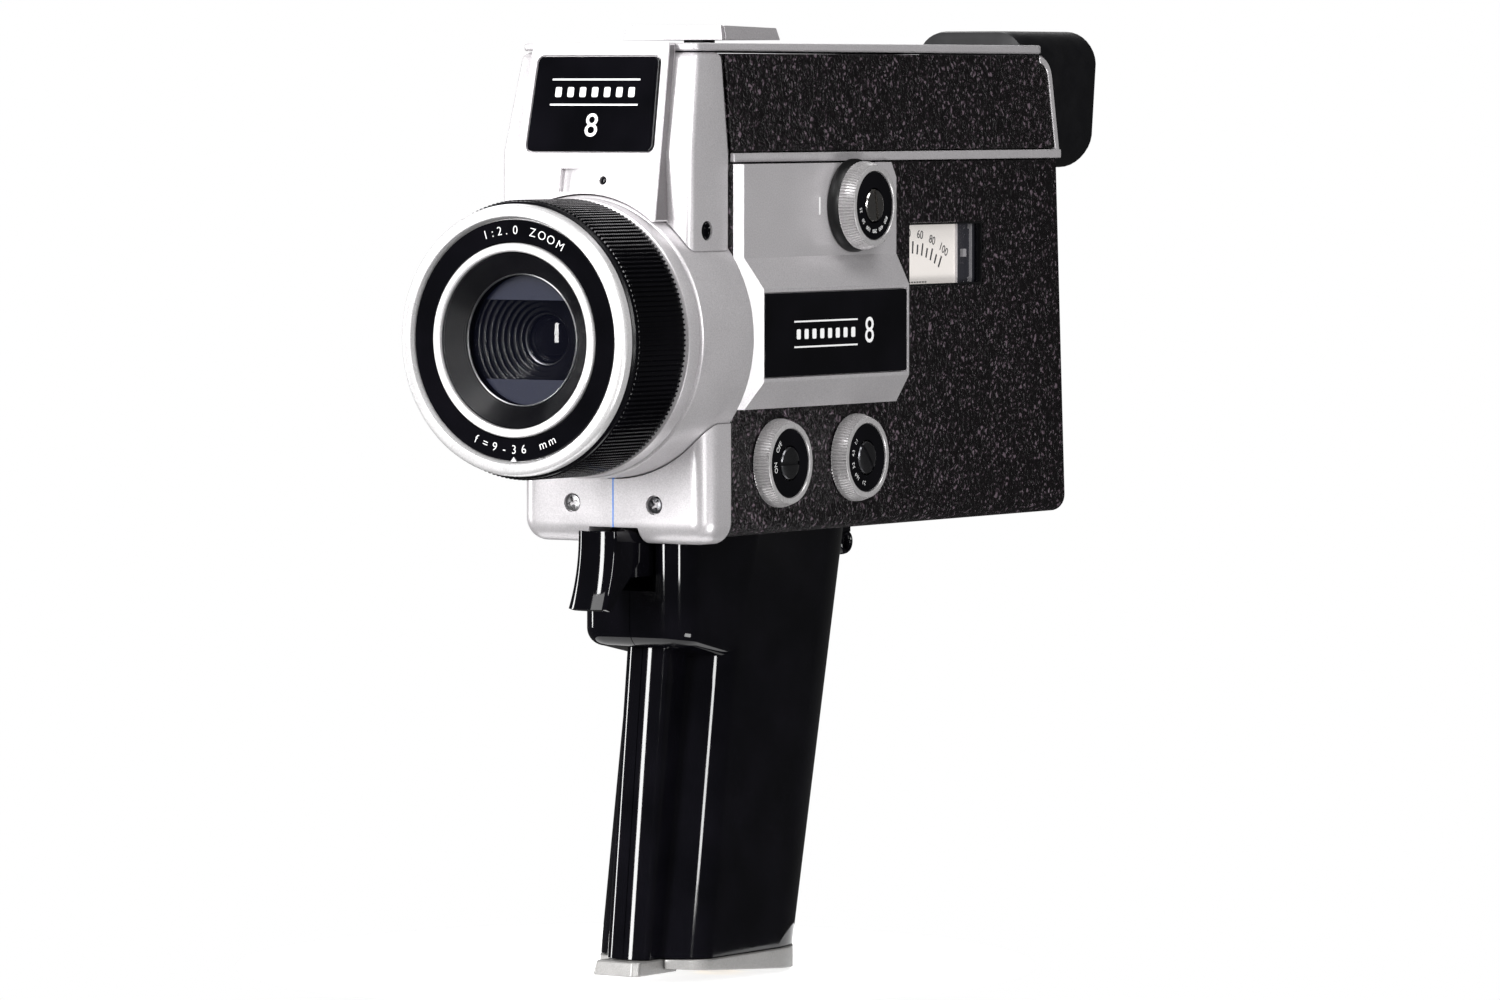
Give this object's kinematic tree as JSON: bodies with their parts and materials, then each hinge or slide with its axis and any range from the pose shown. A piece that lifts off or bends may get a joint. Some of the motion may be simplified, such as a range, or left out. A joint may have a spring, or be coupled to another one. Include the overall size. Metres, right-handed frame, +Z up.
{
  "type": "cine camera",
  "caption": "Pistol-grip cine camera: knurled zoom lens, silver front, leather-look body, side dials, light-meter window, rubber eyecup, zoom rocker and push-in trigger.",
  "frame": {"origin": "on the flat underside of the grip's rear base cap, in the symmetry plane, 16 mm in front of the tripod socket's axis", "axes": "+Z up, -Y the way the lens points, +Y towards the eyecup, +X the side with the dials"},
  "size_m": [0.0648, 0.222, 0.2113],
  "materials": {
    "silver": "satin silver paint with a fine grain",
    "silver_knurled": "satin, fine knurling on the rim",
    "gloss_black": "high gloss",
    "matte_black": "matt",
    "knurled_black": "satin, knurled in fine rows",
    "leatherette": "pebbled leather-look covering",
    "rubber": "matt",
    "glass": "polished, coated",
    "chrome": "polished",
    "steel": "plated",
    "brass": "turned",
    "meter_card": "matt off-white card",
    "circuit_board": "solder mask",
    "battery_wrap": "shrink wrap"
  },
  "bodies": {
    "camera_body": {"base_cap_front": "silver", "base_cap_rear": "silver", "battery": "battery_wrap", "eyecup": "rubber", "eyepiece_lens": "glass", "eyepiece_tube": "matte_black", "filter_dial_seat": "matte_black", "finder_display": "glass", "front_bezel": "silver", "front_glass": "glass", "front_housing": "silver", "front_panel": "silver", "front_plate": "gloss_black", "front_screw_left": "steel", "front_screw_right": "steel", "grip_shell_left": "gloss_black", "grip_shell_right": "gloss_black", "inner_lens": "glass", "lens_baffle": "matte_black", "lens_barrel": "matte_black", "lens_cone": "matte_black", "lens_drum": "silver", "lens_inner_ring": "silver", "lens_name_ring": "gloss_black", "lens_tube": "matte_black", "lower_front_cover": "silver", "main_board": "circuit_board", "main_shell_left": "leatherette", "main_shell_right": "leatherette", "meter_card": "meter_card", "meter_housing": "matte_black", "meter_window": "glass", "rear_panel": "matte_black", "rocker_switch": "matte_black", "sensor_board": "circuit_board", "side_cover": "silver", "side_plate": "gloss_black", "side_trim_left": "silver", "side_trim_right": "silver", "strap_lug": "gloss_black", "switch_board": "circuit_board", "top_cover": "silver", "trigger_spring": "steel", "trigger_switch": "matte_black", "tripod_bush": "brass", "upper_leather_left": "leatherette", "upper_leather_right": "leatherette"},
    "zoom_ring_body": {"zoom_ring": "knurled_black"},
    "filter_knob": {"filter_dial": "silver_knurled", "filter_dial_face": "gloss_black", "filter_dial_screw": "chrome"},
    "power_knob": {"power_dial": "silver_knurled", "power_dial_face": "gloss_black", "power_dial_screw": "chrome"},
    "ratio_knob": {"ratio_dial": "silver_knurled", "ratio_dial_face": "gloss_black", "ratio_dial_screw": "chrome"},
    "needle": {"meter_needle": "matte_black"},
    "rocker": {"zoom_rocker": "silver"},
    "trigger_body": {"trigger": "gloss_black"}
  },
  "joints": [
    {"name": "zoom_turn", "type": "hinge", "parent": "camera_body", "child": "zoom_ring_body", "pos_m": [0, -0.052, 0.1408], "axis": [0, -1, 0], "range_deg": [-60, 60]},
    {"name": "filter_turn", "type": "hinge", "parent": "camera_body", "child": "filter_knob", "pos_m": [0.0298, 0.0288, 0.169], "axis": [1, 0, 0], "range_deg": [0, 240]},
    {"name": "power_turn", "type": "hinge", "parent": "camera_body", "child": "power_knob", "pos_m": [0.0253, 0.0011, 0.1126], "axis": [1, 0, 0], "range_deg": [0, 90]},
    {"name": "ratio_turn", "type": "hinge", "parent": "camera_body", "child": "ratio_knob", "pos_m": [0.0253, 0.0328, 0.1127], "axis": [1, 0, 0], "range_deg": [0, 120]},
    {"name": "needle_swing", "type": "hinge", "parent": "camera_body", "child": "needle", "pos_m": [0.02245, 0.061, 0.1315], "axis": [-1, 0, 0], "range_deg": [0, 50], "stiffness_Nm_per_rad": 0.0005},
    {"name": "rocker_tilt", "type": "hinge", "parent": "camera_body", "child": "rocker", "pos_m": [0, 0.0085, 0.2055], "axis": [1, 0, 0], "range_deg": [-2.5, 2.5], "stiffness_Nm_per_rad": 0.5},
    {"name": "trigger_pull", "type": "slide", "parent": "camera_body", "child": "trigger_body", "axis": [0, 1, 0], "range_m": [0, 0.004], "stiffness_N_per_m": 400, "deforming": ["trigger_spring"]}
  ]
}
